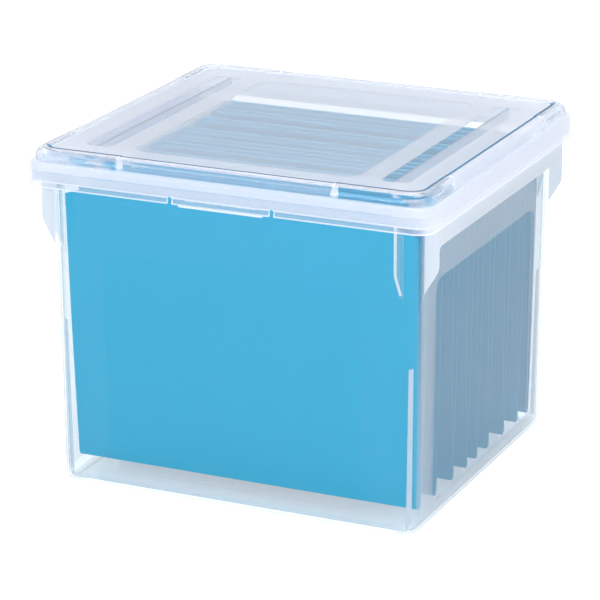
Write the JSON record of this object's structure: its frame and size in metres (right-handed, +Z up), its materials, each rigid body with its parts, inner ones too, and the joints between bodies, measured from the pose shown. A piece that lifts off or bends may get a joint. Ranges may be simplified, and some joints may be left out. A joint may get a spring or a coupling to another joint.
{
  "type": "portable file box",
  "caption": "Frosted plastic box with a lift-off lid that carries a row of hanging folders on its side walls.",
  "frame": {"origin": "centre of the base, on the surface that the box stands on", "axes": "+X to the right along the front, +Y from the front to the back, +Z up through the lid"},
  "size_m": [0.3438, 0.322, 0.2781],
  "materials": {
    "frosted_tub": "frosted translucent polypropylene with clearer polished panels",
    "frosted_lid": "frosted translucent polypropylene with clearer polished panes",
    "blue_card": "uncoated coloured card",
    "steel_strip": "plain rolled strip",
    "white_plastic": "smooth moulded"
  },
  "bodies": {
    "tub": {"tub": "frosted_tub"},
    "lid": {"lid": "frosted_lid"},
    "folder_1": {"folder_1_pocket": "blue_card", "folder_1_front_rod": "steel_strip", "folder_1_rear_rod": "steel_strip", "folder_1_hooks": "white_plastic"},
    "folder_2": {"folder_2_pocket": "blue_card", "folder_2_front_rod": "steel_strip", "folder_2_rear_rod": "steel_strip", "folder_2_hooks": "white_plastic"},
    "folder_3": {"folder_3_pocket": "blue_card", "folder_3_front_rod": "steel_strip", "folder_3_rear_rod": "steel_strip", "folder_3_hooks": "white_plastic"},
    "folder_4": {"folder_4_pocket": "blue_card", "folder_4_front_rod": "steel_strip", "folder_4_rear_rod": "steel_strip", "folder_4_hooks": "white_plastic"},
    "folder_5": {"folder_5_pocket": "blue_card", "folder_5_front_rod": "steel_strip", "folder_5_rear_rod": "steel_strip", "folder_5_hooks": "white_plastic"},
    "folder_6": {"folder_6_pocket": "blue_card", "folder_6_front_rod": "steel_strip", "folder_6_rear_rod": "steel_strip", "folder_6_hooks": "white_plastic"},
    "folder_7": {"folder_7_pocket": "blue_card", "folder_7_front_rod": "steel_strip", "folder_7_rear_rod": "steel_strip", "folder_7_hooks": "white_plastic"},
    "folder_8": {"folder_8_pocket": "blue_card", "folder_8_front_rod": "steel_strip", "folder_8_rear_rod": "steel_strip", "folder_8_hooks": "white_plastic"},
    "folder_9": {"folder_9_pocket": "blue_card", "folder_9_front_rod": "steel_strip", "folder_9_rear_rod": "steel_strip", "folder_9_hooks": "white_plastic"}
  },
  "joints": [
    {"name": "lid_lift", "type": "slide", "parent": "tub", "child": "lid", "axis": [0, 0, 1], "range_m": [0, 0.12]},
    {"name": "folder_1_slide", "type": "slide", "parent": "tub", "child": "folder_1", "axis": [0, 1, 0], "range_m": [-0.0024, 0.0058]},
    {"name": "folder_2_slide", "type": "slide", "parent": "tub", "child": "folder_2", "axis": [0, 1, 0], "range_m": [-0.0058, 0.0105]},
    {"name": "folder_3_slide", "type": "slide", "parent": "tub", "child": "folder_3", "axis": [0, 1, 0], "range_m": [-0.0105, 0.0081]},
    {"name": "folder_4_slide", "type": "slide", "parent": "tub", "child": "folder_4", "axis": [0, 1, 0], "range_m": [-0.0081, 0.0041]},
    {"name": "folder_5_slide", "type": "slide", "parent": "tub", "child": "folder_5", "axis": [0, 1, 0], "range_m": [-0.0041, 0.0055]},
    {"name": "folder_6_slide", "type": "slide", "parent": "tub", "child": "folder_6", "axis": [0, 1, 0], "range_m": [-0.0055, 0.0106]},
    {"name": "folder_7_slide", "type": "slide", "parent": "tub", "child": "folder_7", "axis": [0, 1, 0], "range_m": [-0.0106, 0.0091]},
    {"name": "folder_8_slide", "type": "slide", "parent": "tub", "child": "folder_8", "axis": [0, 1, 0], "range_m": [-0.0091, 0.0053]},
    {"name": "folder_9_slide", "type": "slide", "parent": "tub", "child": "folder_9", "axis": [0, 1, 0], "range_m": [-0.0053, 0.0065]}
  ]
}
